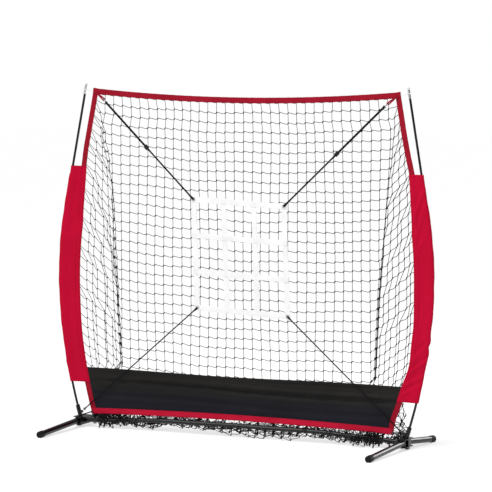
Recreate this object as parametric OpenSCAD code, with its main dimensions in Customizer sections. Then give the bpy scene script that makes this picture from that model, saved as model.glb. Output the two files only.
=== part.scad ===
// Pitching target net: a bow-frame hitting net with a hung strike-zone target.
// X is the width, -Y is the side the ball comes from, +Z is up.
// The origin is on the ground, in the middle of the footprint.

/* [Frame] */
// Distance between the two hub centres
base_w = 1640; // [1240:10:2050]
// Height of the pole tips above the ground
tip_z = 1596; // [1320:1:1950]
// Backward lean of the poles and the net, degrees
lean = 1.66; // [0:0.01:4]
// Outward angle of the pole at the hub, degrees
foot_angle = 18.1; // [14:0.1:21]
// Outward angle of the pole at its lower joint, degrees
waist_angle = 5.4; // [3:0.1:8]
// Inward angle of the straight upper pole section, degrees
tip_angle = 10.2; // [8:0.1:13]

/* [Poles] */
// Diameter of the fibreglass pole
pole_d = 11; // [8:0.1:13]
// Heights of the two joints between the three pole sections
pole_joint_low_z = 560; // [480:1:640]
// Height of the upper joint
pole_joint_high_z = 1050; // [980:1:1140]
// Length of a joint ferrule
ferrule_len = 60; // [40:1:80]
// Wall of a joint ferrule
ferrule_wall = 1.7; // [1:0.1:2]
// Length of the bright end ferrule
tip_ferrule_len = 38; // [25:1:50]
// Diameter of the ball on the end ferrule
tip_ball_d = 11; // [8:0.5:16]

/* [Hubs and legs] */
// Height of the leg pivots and of the crossbar's ends
hub_z = 32; // [28:0.5:40]
// Diameter of a leg tube
leg_d = 28; // [22:0.5:30]
// Wall of a leg tube
leg_wall = 1.8; // [1.2:0.1:2.5]
// Ground length of a front leg, pivot to tip
front_reach = 372; // [280:1:460]
// Ground length of a rear leg, pivot to tip
rear_reach = 228; // [180:1:300]
// Outward splay of a front leg, degrees
front_splay = -0.8; // [-2:0.1:10]
// Outward splay of a rear leg, degrees
rear_splay = 7.6; // [0:0.1:12]
// Distance from the crossbar's axis to each leg pivot
pivot_y = 31; // [30:0.5:36]
// Wall of the hub's plates
hub_wall = 3.2; // [2:0.1:5]
// Diameter of a pivot rivet
rivet_d = 8; // [6:0.5:10]
// Length of the pole socket, above the hub's top plate
socket_len = 48; // [40:1:70]
// Outer diameter of the pole socket
socket_d = 20; // [18:0.5:26]
// Wall of a rubber end cap
cap_wall = 2; // [1.5:0.1:3]
// Length of tube that an end cap covers
cap_grip = 24; // [15:1:40]

/* [Crossbar] */
// Diameter of the crossbar tube
bar_d = 22; // [18:0.5:26]
// Wall of the crossbar tube
bar_wall = 1.5; // [1:0.1:2]
// Distance from the middle to the joint between inner and outer sections
bar_knee_x = 400; // [300:1:520]
// Height of the crossbar at that joint
bar_knee_z = 52; // [40:1:60]
// Height of the crossbar in the middle
bar_mid_z = 54; // [40:1:64]
// Length of a spigot inside each tube end
spigot_len = 45; // [30:1:70]

/* [Border and sleeves] */
// Width of the border webbing
border_w = 25; // [20:0.5:32]
// Thickness of the border webbing
border_t = 2.5; // [1.5:0.1:4]
// Sag of the top border between its corners
top_sag = 34; // [0:1:60]
// Height of the bottom border's corners
bottom_z = 77; // [70:1:110]
// Rise of the bottom border in the middle
bottom_rise = 13; // [0:1:25]
// Drop from the pole tip to the top border's corners
top_drop = 22; // [14:1:40]
// Gap from the pole to the side border above the sleeve
rim_gap_top = 51; // [45:1:70]
// Gap from the pole to the side border at the sleeve and below it
rim_gap = 80; // [60:1:100]
// Height of the sleeve's lower edge
sleeve_low_z = 210; // [200:1:260]
// Height of the sleeve's upper edge
sleeve_top_z = 1224; // [1120:1:1240]
// Thickness of the sleeve's folded fabric
sleeve_t = 1.2; // [0.8:0.1:2]

/* [Netting] */
// Distance that the netting hangs back behind the border
net_depth = 46; // [30:1:70]
// Thickness of the space that the knotted netting takes
net_t = 2.5; // [2:0.5:8]
// Height of the solid ball-catch panel's upper edge
panel_top_z = 276; // [200:1:360]
// Distance behind the border where the slack netting meets the ground
skirt_y = 92; // [70:1:120]
// Half width of the slack netting on the ground
skirt_half_w = 700; // [500:1:720]

/* [Target] */
// Width of a target strip
strip_w = 25; // [20:0.5:30]
// Thickness of a target strip
strip_t = 1.5; // [1:0.1:3]
// Distance between column centres
column_pitch = 152; // [120:1:180]
// Distance between row centres
row_pitch = 166; // [130:1:190]
// Height of the target's middle
target_z = 825; // [720:1:860]
// Slope of the rows, right end down, degrees
row_tilt = 2.4; // [0:0.1:4]
// Slope of the columns, top to the left, degrees
column_tilt = 3; // [0:0.1:4]
// Hole of a corner grommet
grommet_hole = 9; // [7:0.5:12]
// Width of an upper strap
upper_strap_w = 10; // [8:0.5:16]
// Width of a lower strap
lower_strap_w = 6; // [5:0.5:10]
// Thickness of a strap
strap_t = 2; // [1:0.1:3]
// Place of a slider along its strap, as a share from the target to the hook
slider_place = 0.52; // [0.3:0.01:0.7]

/* [Hidden] */

$fn = 48;
STEEL = "#1b1b1d";
FIBREGLASS = "#141416";
BRIGHT = "#b9bcc0";
RUBBER = "#0e0e0f";
RED = "#b5122b";
NET = "#26262a";
PANEL = "#1a1a1c";
WHITE = "#ececea";
ELASTIC = "#202023";

// Clearances
fit = 0.05;          // radial running fit
butt = 0.5;          // gap where two tube ends meet
slot_play = 0.4;     // space round a strap in its slider

// Frame
hub_x = base_w / 2;
pole_r = pole_d / 2;
low_r = (pole_joint_low_z - hub_z) / (sin(foot_angle) - sin(waist_angle));
low_c = [hub_x, hub_z] - low_r * [cos(foot_angle), -sin(foot_angle)];
mid_r = (pole_joint_high_z - pole_joint_low_z) / (sin(waist_angle) + sin(tip_angle));
mid_c = low_c + (low_r - mid_r) * [cos(waist_angle), -sin(waist_angle)];
high_x = mid_c[0] + mid_r * cos(tip_angle);

// X of the pole's axis at height z
function pole_x(z) =
    z < pole_joint_low_z ? low_c[0] + sqrt(pow(low_r, 2) - pow(z - low_c[1], 2)) :
    z < pole_joint_high_z ? mid_c[0] + sqrt(pow(mid_r, 2) - pow(z - mid_c[1], 2)) :
    high_x - (z - pole_joint_high_z) * tan(tip_angle);
function low_angle(z) = asin((z - low_c[1]) / low_r);
function mid_angle(z) = asin((z - mid_c[1]) / mid_r);
// How far an arc strays from a straight bore that is twice as long as half
function stray(half, r) = half * half / (2 * r);

// Gap from the pole to the side border's centre line at height z
narrow_z = 950;
function gap_at(z) =
    z > sleeve_top_z ? rim_gap_top :
    z > narrow_z ? rim_gap + (rim_gap_top - rim_gap) * (z - narrow_z) / (sleeve_top_z - narrow_z) :
    rim_gap;
function rim_x(z) = pole_x(z) - gap_at(z);

// Evenly spaced numbers from a to b in n steps
function steps(a, b, n) = [for (i = [0 : n]) a + (b - a) * i / n];
function unit(v) = v / norm(v);
function side_of(path, i) =
    let (d = unit(path[min(i + 1, len(path) - 1)] - path[max(i - 1, 0)])) [-d[1], d[0]];
// Outline of a band of a given width along a path
function band(path, w) = concat(
    [for (i = [0 : len(path) - 1]) path[i] + side_of(path, i) * w / 2],
    [for (i = [len(path) - 1 : -1 : 0]) path[i] - side_of(path, i) * w / 2]);

// Border
top_z = tip_z - top_drop;
top_x = rim_x(top_z) + border_w / 2;
bottom_x = rim_x(bottom_z) + border_w / 2;
function top_border_z(x) = top_z - top_sag * (1 - pow(x / top_x, 2));
function bottom_border_z(x) = bottom_z + bottom_rise * (1 - pow(x / bottom_x, 2));
border_steps = 24;
rim_steps = 36;

// Legs: the tube droops from its pivot to the ground
cap_r = leg_d / 2 + cap_wall;
cap_flat = 1.5;                      // how much of the cap's round is flattened on the ground
tip_axis_z = cap_r - cap_flat;
cap_end = 4;
eye_d = leg_d + 2;                   // solid eye at a leg's inner end
eye_h = leg_d + 1;
function droop(reach) = atan((hub_z - tip_axis_z) / reach);
function tube_len(reach) = norm([hub_z - tip_axis_z, reach]);

// Hub
plate_reach = leg_d / 2 + 8;         // from a pivot to the plates' outer edge
leg_play = 0.5 + plate_reach * sin(droop(min(front_reach, rear_reach)));
plate_gap = leg_d + 2 * leg_play;
hub_low = hub_z - plate_gap / 2 - hub_wall;
hub_high = hub_z + plate_gap / 2 + hub_wall;
hub_slot_x = hub_x - eye_d / 2 - 1.2;
hub_in_x = hub_slot_x - 6;
hub_out_x = hub_x + plate_reach;
hub_half_y = pivot_y + leg_d / 2 + 1;
core_half_y = pivot_y - leg_d / 2 - 4;
hub_chamfer = 7;
foot_lug_z = 3;
rivet_head_d = 15;
rivet_head_h = 2.6;

// Footprint, and the shift that puts the origin in its middle
function leg_end_y(reach, splay) =
    let (along_y = cos(droop(reach)) * cos(splay))
    pivot_y + (tube_len(reach) + cap_end) * along_y + cap_r * sqrt(1 - pow(along_y, 2));
front_y = leg_end_y(front_reach, front_splay);
rear_y = leg_end_y(rear_reach, rear_splay);
origin_shift = (front_y - rear_y) / 2;

// Crossbar
bar_slope = atan((bar_knee_z - hub_z) / (hub_in_x - bar_knee_x));
bar_inner_slope = atan((bar_mid_z - bar_knee_z) / bar_knee_x);
bar_bore = bar_d - 2 * bar_wall;

// Target and straps
strip_front_y = -7;                  // plane where rows and columns meet
strap_y = strip_front_y - strip_t - 0.8 - strap_t / 2;
hook_r = 5.5;
hook_wire = 3.2;
hook_shank = 13;
hook_eye = 5;
tab_t = 4;
tab_y = strap_y + hook_r;
row_dir = [cos(row_tilt), -sin(row_tilt)];
column_dir = [-sin(column_tilt), cos(column_tilt)];
function target_point(column, row) =
    [0, target_z] + (column - 2.5) * column_pitch * row_dir + (row - 2.5) * row_pitch * column_dir;
upper_hook = [rim_x(top_z) - 52, top_z - 42];
lower_hook = [pole_x(hub_high + 30) - 25, hub_high + 22];
function mirrored(p, side) = [side * p[0], p[1]];
function upper_from(side) = target_point(side < 0 ? 1 : 4, 4);
function lower_from(side) = target_point(side < 0 ? 1 : 4, 1);
function heading(v) = atan2(v[1], v[0]);

// ---- placing ----

module placed() translate([0, origin_shift, 0]) children();
module leaned() translate([0, 0, hub_z]) rotate([-lean, 0, 0]) translate([0, 0, -hub_z]) children();
module sided(side) mirror([side < 0 ? 1 : 0, 0, 0]) children();
// Draws a 2D outline in the XZ plane, from y0 to y0 + t
module upright(y0, t) translate([0, y0 + t, 0]) rotate([90, 0, 0]) linear_extrude(t) children();
// Puts the X axis along a direction in the XZ plane
module along(p, dir) translate([p[0], 0, p[1]]) rotate([0, -heading(dir), 0]) children();

// ---- poles ----

// Arc of a round section about a centre in the XZ plane, between two angles
module bow(c, r, a0, a1) {
    translate([c[0], 0, c[1]]) rotate([90, 0, 0]) rotate([0, 0, a0])
        rotate_extrude(angle = a1 - a0, $fn = 200) translate([r, 0]) children();
}

module pole_lower() {
    color(FIBREGLASS) leaned()
        bow(low_c, low_r, low_angle(hub_high + 6), low_angle(pole_joint_low_z - butt))
            circle(r = pole_r);
}

module pole_middle() {
    color(FIBREGLASS) leaned()
        bow(mid_c, mid_r, mid_angle(pole_joint_low_z + butt), mid_angle(pole_joint_high_z - butt))
            circle(r = pole_r);
}

module pole_upper() {
    z_from = pole_joint_high_z + butt;
    color(FIBREGLASS) leaned() translate([pole_x(z_from), 0, z_from]) rotate([0, -tip_angle, 0])
        cylinder(h = (tip_z - z_from) / cos(tip_angle) - 10, r = pole_r);
}

ferrule_bore = pole_r + fit + stray(ferrule_len / 2, mid_r);
module joint_ferrule(z, angle) {
    translate([pole_x(z), 0, z]) rotate([0, angle, 0]) difference() {
        cylinder(h = ferrule_len, r = ferrule_bore + ferrule_wall, center = true);
        cylinder(h = ferrule_len + 2, r = ferrule_bore, center = true);
    }
}

module pole_ferrules() {
    color(BRIGHT) for (side = [-1, 1]) sided(side) leaned() {
        joint_ferrule(pole_joint_low_z, waist_angle);
        joint_ferrule(pole_joint_high_z, -tip_angle);
    }
}

module at_tip() leaned() translate([pole_x(tip_z), 0, tip_z]) rotate([0, -tip_angle, 0]) children();

module tip_ferrule() {
    color(BRIGHT) at_tip() translate([0, 0, -tip_ferrule_len]) difference() {
        cylinder(h = tip_ferrule_len, r = pole_r + fit + 1);
        translate([0, 0, -1]) cylinder(h = tip_ferrule_len - 8, r = pole_r + fit);
    }
}

module tip_ball() {
    color(RUBBER) at_tip() {
        cylinder(h = tip_ball_d / 2, d = tip_ball_d * 0.6);
        translate([0, 0, tip_ball_d / 2]) sphere(d = tip_ball_d);
    }
}

// ---- hubs and legs ----

module hub_plan() {
    c = hub_chamfer;
    polygon([[hub_in_x, -hub_half_y], [hub_out_x - c, -hub_half_y], [hub_out_x, -hub_half_y + c],
        [hub_out_x, hub_half_y - c], [hub_out_x - c, hub_half_y], [hub_in_x, hub_half_y]]);
}

module leg_slot(y_sign) {
    slot_w = hub_half_y - core_half_y + 1;
    y_mid = y_sign * (core_half_y + slot_w / 2);
    translate([hub_slot_x, y_mid - slot_w / 2, hub_z - plate_gap / 2])
        cube([hub_out_x - hub_slot_x + 1, slot_w, plate_gap]);
}

module hub_spigot() {
    root = 2;
    translate([hub_in_x, 0, hub_z]) rotate([0, -90 + bar_slope, 0]) translate([0, 0, -root])
        cylinder(h = spigot_len + root, d = bar_bore - 2 * fit);
}

module socket_lug() {
    dir = unit(lower_hook - lower_from(1));
    eye = lower_hook + hook_r * dir;
    upright(tab_y - tab_t / 2, tab_t) difference() {
        hull() {
            translate(eye) circle(r = hook_wire + 3);
            translate([pole_x(hub_high + 20), hub_high + 20]) circle(r = 8);
        }
        translate(eye) circle(r = hook_wire * 0.9);
        translate([pole_x(hub_high + 20) - pole_r - fit, hub_high]) square([40, 60]);
    }
}

// Middle of the pole socket, with Z along the pole
module at_socket() {
    z = hub_high + socket_len / 2;
    leaned() translate([pole_x(z), 0, z]) rotate([0, -low_angle(z), 0]) children();
}

module hub() {
    color(STEEL) difference() {
        union() {
            difference() {
                translate([0, 0, hub_low]) linear_extrude(hub_high - hub_low) hub_plan();
                for (y_sign = [-1, 1]) leg_slot(y_sign);
                for (y_sign = [-1, 1]) translate([hub_x, y_sign * pivot_y, hub_low - 1])
                    cylinder(h = hub_high - hub_low + 2, r = rivet_d / 2 + fit);
            }
            translate([hub_x + 4, -core_half_y + 2, foot_lug_z])
                cube([14, 2 * core_half_y - 4, hub_low - foot_lug_z + 1]);
            hub_spigot();
            at_socket() translate([0, 0, -socket_len / 2 - 6]) cylinder(h = socket_len + 6, d = socket_d);
            leaned() socket_lug();
        }
        at_socket() translate([0, 0, -socket_len / 2 + 5])
            cylinder(h = socket_len, r = pole_r + fit + stray(socket_len / 2, low_r));
    }
}

module pivot_rivets() {
    color(BRIGHT) for (x_sign = [-1, 1], y_sign = [-1, 1])
        translate([x_sign * hub_x, y_sign * pivot_y, 0]) {
            translate([0, 0, hub_low]) cylinder(h = hub_high - hub_low, d = rivet_d);
            translate([0, 0, hub_high]) cylinder(h = rivet_head_h, d = rivet_head_d);
            translate([0, 0, hub_low - rivet_head_h]) cylinder(h = rivet_head_h, d = rivet_head_d);
        }
}

// Puts the X axis along a leg, from its pivot: y_sign is -1 in front and +1 behind
module at_leg(y_sign, reach, splay) {
    translate([hub_x, y_sign * pivot_y, hub_z]) rotate([0, 0, y_sign * (90 - splay)])
        rotate([0, droop(reach), 0]) children();
}

module leg(y_sign, reach, splay) {
    color(STEEL) difference() {
        union() {
            at_leg(y_sign, reach, splay) rotate([0, 90, 0]) cylinder(h = tube_len(reach), d = leg_d);
            translate([hub_x, y_sign * pivot_y, hub_z - eye_h / 2]) cylinder(h = eye_h, d = eye_d);
        }
        at_leg(y_sign, reach, splay) rotate([0, 90, 0])
            translate([0, 0, leg_d / 2 + 6]) cylinder(h = tube_len(reach), d = leg_d - 2 * leg_wall);
        translate([hub_x, y_sign * pivot_y, 0]) cylinder(h = hub_high, r = rivet_d / 2 + fit);
    }
}

module end_cap(y_sign, reach, splay) {
    color(RUBBER) intersection() {
        at_leg(y_sign, reach, splay) rotate([0, 90, 0]) difference() {
            translate([0, 0, tube_len(reach) - cap_grip]) cylinder(h = cap_grip + cap_end, r = cap_r);
            translate([0, 0, tube_len(reach) - cap_grip - 1])
                cylinder(h = cap_grip + 1, r = leg_d / 2 + fit);
        }
        translate([hub_x - reach, y_sign > 0 ? 0 : -2 * reach, 0])
            cube([2 * reach, 2 * reach, 3 * cap_r]);
    }
}

// ---- crossbar ----

module bar_tube(p, q) {
    d = q - p;
    translate([p[0], 0, p[1]]) rotate([0, 90 - heading(d), 0]) difference() {
        cylinder(h = norm(d), d = bar_d);
        translate([0, 0, -1]) cylinder(h = norm(d) + 2, d = bar_bore);
    }
}
bar_end = [hub_in_x, hub_z];
bar_knee = [bar_knee_x, bar_knee_z];
bar_mid = [0, bar_mid_z];

module crossbar_outer() {
    dir = unit(bar_end - bar_knee);
    hub_gap = butt + bar_d / 2 * tan(bar_slope);
    color(STEEL) bar_tube(bar_knee + butt * dir, bar_end - hub_gap * dir);
}

module crossbar_inner() {
    color(STEEL) bar_tube(bar_mid + butt * unit(bar_knee - bar_mid),
        bar_knee - butt * unit(bar_knee - bar_mid));
}

// Straight rod over a joint of the crossbar, slimmer where the tubes meet at an angle
module bar_spigot(p, a0, a1) {
    slack = spigot_len * sin(abs(a1 - a0) / 2) + bar_bore / 2 * (1 - cos(abs(a1 - a0) / 2));
    translate([p[0], 0, p[1]]) rotate([0, 90 + (a0 + a1) / 2, 0])
        cylinder(h = 2 * spigot_len, d = bar_bore - 2 * fit - 2 * slack, center = true);
}

module crossbar_spigots() {
    color(BRIGHT) {
        for (side = [-1, 1]) sided(side) bar_spigot(bar_knee, bar_slope, bar_inner_slope);
        bar_spigot(bar_mid, bar_inner_slope, -bar_inner_slope);
    }
}

// ---- border and sleeves ----

module border_top() {
    path = [for (x = steps(-top_x, top_x, border_steps)) [x, top_border_z(x)]];
    color(RED) leaned() upright(-border_t, border_t) polygon(band(path, border_w));
}

module border_bottom() {
    path = [for (x = steps(-bottom_x, bottom_x, border_steps)) [x, bottom_border_z(x)]];
    color(RED) leaned() upright(-border_t, border_t) polygon(band(path, border_w));
}

module border_side() {
    low = bottom_z - border_w / 2;
    high = top_z + border_w / 2;
    path = [for (z = steps(low, high, rim_steps)) [rim_x(z), z]];
    color(RED) leaned() upright(0, border_t) polygon(band(path, border_w));
}

module sleeve() {
    heights = steps(sleeve_low_z, sleeve_top_z, rim_steps);
    pole_path = [for (z = heights) [pole_x(z), z]];
    long_path = [for (z = steps(sleeve_low_z - 5, sleeve_top_z + 5, rim_steps)) [pole_x(z), z]];
    hollow = 2 * (ferrule_bore + ferrule_wall + 0.5);
    shell = hollow + 2 * sleeve_t;
    color(RED) leaned() difference() {
        union() {
            upright(-2 * sleeve_t, 2 * sleeve_t) polygon(concat(
                [for (z = heights) [rim_x(z) - border_w / 2, z]],
                [for (i = [rim_steps : -1 : 0]) [pole_x(heights[i]) - hollow / 2 - sleeve_t / 2,
                    heights[i]]]));
            upright(-shell / 2, shell) polygon(band(pole_path, shell));
        }
        upright(-hollow / 2, hollow) polygon(band(long_path, hollow));
    }
}

// ---- netting ----

// Outline of the opening that the border frames
function opening() = concat(
    [for (z = steps(bottom_z, top_z, rim_steps)) [rim_x(z), z]],
    [for (x = steps(rim_x(top_z), -rim_x(top_z), border_steps)) [x, top_border_z(x)]],
    [for (z = steps(top_z, bottom_z, rim_steps)) [-rim_x(z), z]],
    [for (x = steps(-rim_x(bottom_z), rim_x(bottom_z), border_steps)) [x, bottom_border_z(x)]]);

module netting() {
    y0 = border_t;
    y1 = border_t + net_depth;
    belly_top = top_z - 330;
    belly_low = panel_top_z + 120;
    color(NET) leaned() intersection() {
        upright(0, 2 * net_depth) polygon(opening());
        translate([-base_w, 0, 0]) rotate([90, 0, 90]) linear_extrude(2 * base_w)
            polygon([[y0, top_z + 60], [y0, top_z - top_sag - border_w / 2],
                [y1, belly_top], [y1, belly_low], [y0 + 2, bottom_z],
                [y0 + 2 + net_t, bottom_z], [y1 + net_t, belly_low - 2],
                [y1 + net_t, belly_top + 2], [y0 + net_t, top_z - top_sag - border_w / 2 + 2],
                [y0 + net_t, top_z + 60]]);
    }
}

module net_skirt() {
    start_z = bottom_z - 2;
    y0 = border_t + 2;
    color(NET) translate([-skirt_half_w, 0, 0]) rotate([90, 0, 90]) linear_extrude(2 * skirt_half_w)
        polygon([[y0, start_z], [skirt_y - 30, net_t], [skirt_y - 30, 0], [skirt_y, 0],
            [skirt_y, 4 * net_t], [y0 + net_t, start_z]]);
}

module catch_panel() {
    heights = steps(bottom_z + bottom_rise, panel_top_z, 8);
    color(PANEL) leaned() upright(0, 1.6) difference() {
        polygon(concat(
            [for (z = heights) [rim_x(z) - border_w / 2 - 0.5, z]],
            [for (i = [8 : -1 : 0]) [-rim_x(heights[i]) + border_w / 2 + 0.5, heights[i]]]));
    }
}

// ---- target ----

module target_strip(p, tilt, len, y0, ends) {
    translate([p[0], y0, p[1]]) rotate([0, tilt, 0]) difference() {
        translate([-len / 2, 0, -strip_w / 2]) cube([len, strip_t, strip_w]);
        if (ends) for (s = [-1, 1]) translate([s * (len - strip_w) / 2, strip_t + 1, 0])
            rotate([90, 0, 0]) cylinder(h = strip_t + 2, d = grommet_hole + 2 + 2 * fit);
    }
}

module target_row(row) {
    mid = (target_point(1, row) + target_point(4, row)) / 2;
    color(WHITE) leaned() target_strip(mid, row_tilt, 3 * column_pitch + strip_w,
        strip_front_y - strip_t, row == 1 || row == 4);
}

module target_column(column) {
    mid = (target_point(column, 1) + target_point(column, 4)) / 2;
    color(WHITE) leaned() target_strip(mid, -90 - column_tilt, 3 * row_pitch + strip_w,
        strip_front_y, column == 1 || column == 4);
}

module grommets() {
    flange = 0.8;
    color(WHITE) leaned() for (column = [1, 4], row = [1, 4]) {
        p = target_point(column, row);
        translate([p[0], strip_front_y + strip_t + flange, p[1]]) rotate([90, 0, 0]) difference() {
            union() {
                cylinder(h = 2 * strip_t + 2 * flange, d = grommet_hole + 2);
                for (h = [0, 2 * strip_t + flange]) translate([0, 0, h])
                    cylinder(h = flange, d = grommet_hole + 9);
            }
            translate([0, 0, -1]) cylinder(h = 10, d = grommet_hole);
        }
    }
}

// ---- straps, hooks and cords ----

module strap(from, hook, w) {
    dir = unit(hook - from);
    len = norm(hook - from) - hook_shank - hook_eye;
    color(ELASTIC) leaned() along(from, dir) {
        translate([0, strap_y - strap_t / 2, -w / 2]) cube([len, strap_t, w]);
        translate([0, strap_y, 0]) rotate([-90, 0, 0])
            cylinder(h = strip_front_y + strip_t - strap_y + 5, d = min(w, grommet_hole - 3));
        translate([0, strip_front_y + strip_t + 6, 0]) sphere(d = grommet_hole + 4);
    }
}

module hook(from, at) {
    leaned() along(at, unit(at - from)) {
        translate([-hook_shank - hook_eye, strap_y - 1.6, -7]) cube([hook_eye, 3.2, 14]);
        translate([-hook_shank - 0.5, strap_y, 0]) rotate([0, 90, 0])
            cylinder(h = hook_shank + 0.5, d = hook_wire);
        translate([0, strap_y + hook_r, 0]) rotate([0, 0, -90])
            rotate_extrude(angle = 165) translate([hook_r, 0]) circle(d = hook_wire);
    }
}

module upper_hooks() color(STEEL) for (s = [-1, 1]) hook(upper_from(s), mirrored(upper_hook, s));
module lower_hooks() color(STEEL) for (s = [-1, 1]) hook(lower_from(s), mirrored(lower_hook, s));

module hook_tabs() {
    corner = [rim_x(top_z) - 8, top_z - 8];
    color(RED) for (s = [-1, 1]) leaned() {
        dir = unit(mirrored(upper_hook, s) - upper_from(s));
        eye = mirrored(upper_hook, s) + hook_r * dir;
        upright(-border_t - tab_t, tab_t) difference() {
            hull() {
                translate(eye) circle(r = 9);
                translate(mirrored(corner, s)) circle(r = 9);
            }
            translate(eye) circle(r = 3.8);
        }
    }
}

module slider(side) {
    from = upper_from(side);
    to = mirrored(upper_hook, side);
    p = from + slider_place * (to - from);
    frame = [22, 5, 18];
    color(STEEL) leaned() along(p, unit(to - from)) translate([0, strap_y, 0]) difference() {
        cube(frame, center = true);
        cube([frame[0] + 2, strap_t + 2 * slot_play, upper_strap_w + 2 * slot_play], center = true);
    }
}

module tip_cords() {
    r = 1.5;
    loop_r = pole_r + fit + 1 + r + 0.3;
    drop = 16;
    color(WHITE) for (side = [-1, 1]) sided(side) leaned() {
        p = [pole_x(tip_z - drop), tip_z - drop];
        q = [top_x, top_z];
        translate([p[0], 0, p[1]]) rotate([0, -tip_angle, 0])
            rotate_extrude() translate([loop_r, 0]) circle(r = r);
        start = p + loop_r * unit(q - p);
        along(start, q - start) translate([0, -border_t / 2, 0]) rotate([0, 90, 0])
            cylinder(h = norm(q - start) - 0.2, r = r);
    }
}

module corner_ties() {
    r = 3;
    knot = [7, 9];
    y = -border_t - knot[1] / 2;
    color(ELASTIC) for (side = [-1, 1]) sided(side) leaned() {
        p = [rim_x(bottom_z), bottom_z - 2];
        q = [pole_x(hub_high + 4) - socket_d / 2 - 4, hub_high + 4];
        len = norm(q - p);
        along(p, q - p) translate([0, y, 0]) rotate([0, 90, 0]) {
            cylinder(h = len, r = r);
            for (h = [0, len - knot[0]]) translate([0, 0, h]) cylinder(h = knot[0], d = knot[1]);
        }
    }
}

placed() sided(-1) hub();  // hub_left
placed() hub();  // hub_right
placed() sided(-1) leg(-1, front_reach, front_splay);  // front_leg_left
placed() leg(-1, front_reach, front_splay);  // front_leg_right
placed() sided(-1) leg(1, rear_reach, rear_splay);  // rear_leg_left
placed() leg(1, rear_reach, rear_splay);  // rear_leg_right
placed() sided(-1) end_cap(-1, front_reach, front_splay);  // front_cap_left
placed() end_cap(-1, front_reach, front_splay);  // front_cap_right
placed() sided(-1) end_cap(1, rear_reach, rear_splay);  // rear_cap_left
placed() end_cap(1, rear_reach, rear_splay);  // rear_cap_right
placed() pivot_rivets();
placed() sided(-1) crossbar_outer();  // crossbar_outer_left
placed() sided(-1) crossbar_inner();  // crossbar_inner_left
placed() crossbar_inner();  // crossbar_inner_right
placed() crossbar_outer();  // crossbar_outer_right
placed() crossbar_spigots();
placed() sided(-1) pole_lower();  // pole_lower_left
placed() pole_lower();  // pole_lower_right
placed() sided(-1) pole_middle();  // pole_middle_left
placed() pole_middle();  // pole_middle_right
placed() sided(-1) pole_upper();  // pole_upper_left
placed() pole_upper();  // pole_upper_right
placed() pole_ferrules();
placed() sided(-1) tip_ferrule();  // tip_ferrule_left
placed() tip_ferrule();  // tip_ferrule_right
placed() sided(-1) tip_ball();  // tip_ball_left
placed() tip_ball();  // tip_ball_right
placed() border_top();
placed() border_bottom();
placed() sided(-1) border_side();  // border_left
placed() border_side();  // border_right
placed() sided(-1) sleeve();  // sleeve_left
placed() sleeve();  // sleeve_right
placed() netting();
placed() net_skirt();
placed() catch_panel();
placed() target_row(1);  // target_row_1
placed() target_row(2);  // target_row_2
placed() target_row(3);  // target_row_3
placed() target_row(4);  // target_row_4
placed() target_column(1);  // target_column_1
placed() target_column(2);  // target_column_2
placed() target_column(3);  // target_column_3
placed() target_column(4);  // target_column_4
placed() grommets();
placed() strap(upper_from(-1), mirrored(upper_hook, -1), upper_strap_w);  // upper_strap_left
placed() strap(upper_from(1), upper_hook, upper_strap_w);  // upper_strap_right
placed() strap(lower_from(-1), mirrored(lower_hook, -1), lower_strap_w);  // lower_strap_left
placed() strap(lower_from(1), lower_hook, lower_strap_w);  // lower_strap_right
placed() slider(-1);  // slider_left
placed() slider(1);  // slider_right
placed() upper_hooks();
placed() lower_hooks();
placed() hook_tabs();
placed() tip_cords();
placed() corner_ties();
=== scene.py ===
import math
import bpy
import mathutils
import numpy as np
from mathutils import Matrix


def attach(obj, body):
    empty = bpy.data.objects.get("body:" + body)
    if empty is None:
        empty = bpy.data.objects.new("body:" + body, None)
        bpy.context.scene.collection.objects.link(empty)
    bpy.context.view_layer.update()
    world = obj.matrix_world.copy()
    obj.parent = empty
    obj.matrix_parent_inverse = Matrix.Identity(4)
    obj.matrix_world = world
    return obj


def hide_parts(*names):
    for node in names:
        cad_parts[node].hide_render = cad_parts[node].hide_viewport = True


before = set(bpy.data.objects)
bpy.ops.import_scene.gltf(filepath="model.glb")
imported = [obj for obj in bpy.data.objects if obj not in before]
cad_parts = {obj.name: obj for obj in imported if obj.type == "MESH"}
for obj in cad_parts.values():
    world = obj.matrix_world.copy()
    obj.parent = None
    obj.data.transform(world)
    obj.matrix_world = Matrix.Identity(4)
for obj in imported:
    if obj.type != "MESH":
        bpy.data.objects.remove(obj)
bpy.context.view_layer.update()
bpy.ops.object.select_all(action="DESELECT")

# ---- camera and studio ----
# A long lens to the right of the net, a little above it, and a white sweep that shows white
# but lights weakly. Soft lamps stand front left, above and behind, under a broad overhead
# softbox, and the floor glows a little, so that it comes out as white as the sweep.
SWEEP_LIGHTS, SWEEP_SHOWS = 0.42, 1.0
FLOOR_GREY, FLOOR_GLOW = 0.50, 0.59
NET_MIDDLE = mathutils.Vector((0, 0, 0.7))
CAMERA_AT, LENS = (5.450, -11.283, 1.941), 203.4
CAMERA_PITCH, CAMERA_TURN = math.radians(85.18), math.radians(25.49)

camera = bpy.data.objects.new("camera", bpy.data.cameras.new("camera"))
bpy.context.scene.collection.objects.link(camera)
camera.location = CAMERA_AT
camera.rotation_euler = (CAMERA_PITCH, 0, CAMERA_TURN)
camera.data.lens = LENS
camera.data.sensor_width = 36
camera.data.clip_end = 100
bpy.context.scene.camera = camera

sky = bpy.data.worlds.new("white_sweep")
sky.use_nodes = True
nodes, links = sky.node_tree.nodes, sky.node_tree.links
seen = nodes.new("ShaderNodeLightPath")
level = nodes.new("ShaderNodeMapRange")
level.inputs["To Min"].default_value = SWEEP_LIGHTS
level.inputs["To Max"].default_value = SWEEP_SHOWS
links.new(seen.outputs["Is Camera Ray"], level.inputs["Value"])
links.new(level.outputs["Result"], nodes["Background"].inputs["Strength"])
nodes["Background"].inputs["Color"].default_value = (1, 1, 1, 1)
bpy.context.scene.world = sky
bpy.context.scene.view_settings.view_transform = "Standard"

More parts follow.
